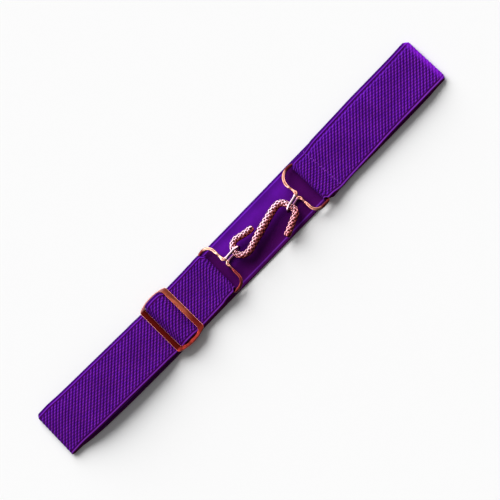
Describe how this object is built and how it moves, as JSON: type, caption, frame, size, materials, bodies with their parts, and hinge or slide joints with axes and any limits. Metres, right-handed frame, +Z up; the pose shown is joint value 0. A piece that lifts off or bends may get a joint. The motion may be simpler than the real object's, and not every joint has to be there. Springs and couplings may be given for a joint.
{
  "type": "elastic snake belt",
  "caption": "Flat elastic waist belt closed by an S-shaped snake hook through two wire rings, with a two-slot slider for length.",
  "frame": {"origin": "centre of the flattened belt's footprint, on the surface it lies on", "axes": "+X along the flattened loop, towards the end opposite the slider; +Y across the webbing; +Z up, out of the buckle's face"},
  "size_m": [0.3136, 0.0396, 0.0109],
  "materials": {
    "webbing": "ribbed elastic twill with raised edges",
    "rose_gold": "polished rose-gold plating",
    "copper": "polished copper plating"
  },
  "bodies": {
    "root": {"webbing_strap": "webbing", "left_ring": "rose_gold", "right_ring": "rose_gold", "snake_hook": "rose_gold", "slider": "copper"}
  },
  "joints": []
}
